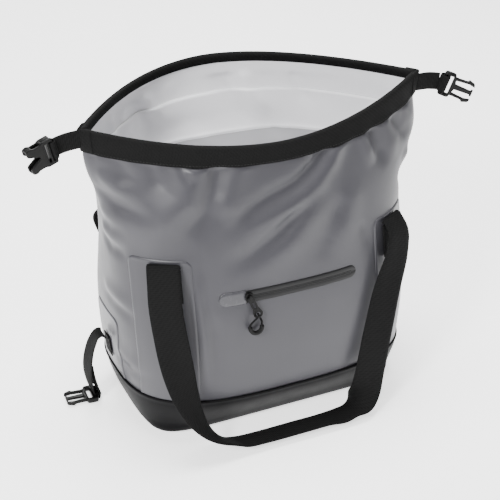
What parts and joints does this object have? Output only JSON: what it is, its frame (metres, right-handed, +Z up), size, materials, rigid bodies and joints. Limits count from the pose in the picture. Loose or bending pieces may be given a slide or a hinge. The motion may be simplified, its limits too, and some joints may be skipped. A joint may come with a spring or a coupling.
{
  "type": "insulated cooler bag",
  "caption": "Soft insulated tote with a roll-down mouth, side-release buckles, webbing carry handles, a front zip pocket and a moulded waterproof boot.",
  "frame": {"origin": "on the floor at the centre of the boot's flat bottom", "axes": "+X to the bag's right as seen from the front, -Y out of the front (the zip pocket side), +Z up"},
  "size_m": [0.553, 0.3284, 0.386],
  "materials": {
    "coated_grey": "satin coated fabric",
    "boot_charcoal": "satin",
    "lining_white": "satin coated",
    "webbing_black": "woven, matte",
    "plastic_black": "moulded, satin",
    "foam": "closed-cell foam, matte",
    "board": "matte",
    "zip_grey": "satin coated tape",
    "zip_metal": "dark plated",
    "cord_black": "braided"
  },
  "bodies": {
    "bag": {"outer_shell": "coated_grey", "base_boot": "boot_charcoal", "base_board": "board", "foam_base": "foam", "foam_front": "foam", "foam_right": "foam", "foam_back": "foam", "foam_left": "foam", "inner_liner": "lining_white", "collar_lining": "lining_white", "liner_weld_band": "lining_white", "rim_tape_front": "webbing_black", "rim_tape_back": "webbing_black", "rim_hem_front": "webbing_black", "rim_hem_back": "webbing_black", "rim_stiffener_front": "board", "rim_stiffener_back": "board", "handle_patch_front_left": "coated_grey", "handle_patch_front_right": "coated_grey", "handle_patch_back_left": "coated_grey", "handle_patch_back_right": "coated_grey", "handle_tab_front_left": "webbing_black", "handle_tab_front_right": "webbing_black", "handle_tab_back_left": "webbing_black", "handle_tab_back_right": "webbing_black", "side_patch_left": "coated_grey", "side_patch_right": "coated_grey", "side_tab_left": "webbing_black", "side_tab_right": "webbing_black", "pocket_bag": "lining_white", "zip_tape": "zip_grey", "zip_coil": "zip_grey", "zip_garage": "coated_grey"},
    "handle_front": {"handle_front": "webbing_black"},
    "handle_back": {"handle_back": "webbing_black"},
    "mouth_strap_left": {"mouth_strap_left": "webbing_black"},
    "mouth_strap_right": {"mouth_strap_right": "webbing_black"},
    "mouth_buckle_left": {"mouth_buckle_left_socket": "plastic_black"},
    "mouth_buckle_right": {"mouth_buckle_right_plug": "plastic_black"},
    "mouth_plug_arm_a": {"mouth_buckle_right_plug_arm_a": "plastic_black"},
    "mouth_plug_arm_b": {"mouth_buckle_right_plug_arm_b": "plastic_black"},
    "side_strap_left": {"side_strap_left": "webbing_black"},
    "side_strap_right": {"side_strap_right": "webbing_black"},
    "side_buckle_left": {"side_buckle_left_plug": "plastic_black"},
    "side_plug_arm_a": {"side_buckle_left_plug_arm_a": "plastic_black"},
    "side_plug_arm_b": {"side_buckle_left_plug_arm_b": "plastic_black"},
    "side_buckle_right": {"side_buckle_right_socket": "plastic_black"},
    "zip_slider": {"zip_slider": "zip_metal"},
    "zip_pull": {"zip_pull": "zip_metal"},
    "pull_loop": {"pull_cord": "cord_black", "pull_grip": "plastic_black"}
  },
  "joints": [
    {"name": "handle_front_swing", "type": "hinge", "parent": "bag", "child": "handle_front", "pos_m": [0, -0.1035, 0.2375], "axis": [-1, 0, 0], "range_deg": [0, 150]},
    {"name": "handle_back_swing", "type": "hinge", "parent": "bag", "child": "handle_back", "pos_m": [0, 0.1141, 0.2375], "axis": [1, 0, 0], "range_deg": [0, 150]},
    {"name": "mouth_strap_left_bend", "type": "hinge", "parent": "bag", "child": "mouth_strap_left", "pos_m": [-0.2146, -0.022, 0.3755], "axis": [0, 0, 1], "range_deg": [-30, 30]},
    {"name": "mouth_strap_right_bend", "type": "hinge", "parent": "bag", "child": "mouth_strap_right", "pos_m": [0.2146, -0.022, 0.3718], "axis": [0, 0, 1], "range_deg": [-30, 30]},
    {"name": "mouth_buckle_left_pivot", "type": "hinge", "parent": "mouth_strap_left", "child": "mouth_buckle_left", "pos_m": [-0.2476, -0.0256, 0.36985], "axis": [-0.2337, -0.0626, 0.9703], "range_deg": [-45, 45]},
    {"name": "mouth_buckle_right_pivot", "type": "hinge", "parent": "mouth_strap_right", "child": "mouth_buckle_right", "pos_m": [0.24691, -0.03158, 0.36745], "axis": [0.2667, -0.1867, 0.9455], "range_deg": [-45, 45]},
    {"name": "mouth_plug_arm_a_squeeze", "type": "hinge", "parent": "mouth_buckle_right", "child": "mouth_plug_arm_a", "pos_m": [0.25516, -0.03735, 0.37456], "axis": [0.5736, 0.8192, 0], "range_deg": [0, 6], "stiffness_Nm_per_rad": 0.2},
    {"name": "mouth_plug_arm_b_squeeze", "type": "hinge", "parent": "mouth_buckle_right", "child": "mouth_plug_arm_b", "pos_m": [0.24982, -0.03362, 0.35565], "axis": [-0.5736, -0.8192, 0], "range_deg": [0, 6], "stiffness_Nm_per_rad": 0.2},
    {"name": "side_strap_left_lift", "type": "hinge", "parent": "bag", "child": "side_strap_left", "pos_m": [-0.1926, 0.003, 0.111], "axis": [0, 1, 0], "range_deg": [0, 110]},
    {"name": "side_strap_right_lift", "type": "hinge", "parent": "bag", "child": "side_strap_right", "pos_m": [0.1905, 0.003, 0.111], "axis": [0, -1, 0], "range_deg": [0, 75]},
    {"name": "side_buckle_left_pivot", "type": "hinge", "parent": "side_strap_left", "child": "side_buckle_left", "pos_m": [-0.20609, 0.0344, 0.004], "axis": [0.0599, 0.9982, 0], "range_deg": [0, 25]},
    {"name": "side_plug_arm_a_squeeze", "type": "hinge", "parent": "side_buckle_left", "child": "side_plug_arm_a", "pos_m": [-0.21268, 0.04481, 0.004], "axis": [0, 0, 1], "range_deg": [0, 6], "stiffness_Nm_per_rad": 0.2},
    {"name": "side_plug_arm_b_squeeze", "type": "hinge", "parent": "side_buckle_left", "child": "side_plug_arm_b", "pos_m": [-0.21387, 0.02485, 0.004], "axis": [0, 0, -1], "range_deg": [0, 6], "stiffness_Nm_per_rad": 0.2},
    {"name": "side_buckle_right_pivot", "type": "hinge", "parent": "side_strap_right", "child": "side_buckle_right", "pos_m": [0.204, 0.0949, 0.0057], "axis": [1, 0, 0], "range_deg": [0, 25]},
    {"name": "zip_slider_travel", "type": "hinge", "parent": "bag", "child": "zip_slider", "pos_m": [0, 0.528, 0.19], "axis": [0, 0, 1], "range_deg": [0, 11]},
    {"name": "zip_pull_lift", "type": "hinge", "parent": "zip_slider", "child": "zip_pull", "pos_m": [-0.05566, -0.12537, 0.19108], "axis": [-0.9964, 0.0849, 0], "range_deg": [0, 95]},
    {"name": "pull_loop_swing", "type": "hinge", "parent": "zip_pull", "child": "pull_loop", "pos_m": [-0.04769, -0.12892, 0.17088], "axis": [-0.0841, -0.9868, 0.1386], "range_deg": [-40, 40]}
  ],
  "couplings": [
    {"joint": "mouth_plug_arm_b_squeeze", "follows": "mouth_plug_arm_a_squeeze", "ratio": 1},
    {"joint": "side_plug_arm_b_squeeze", "follows": "side_plug_arm_a_squeeze", "ratio": 1}
  ]
}
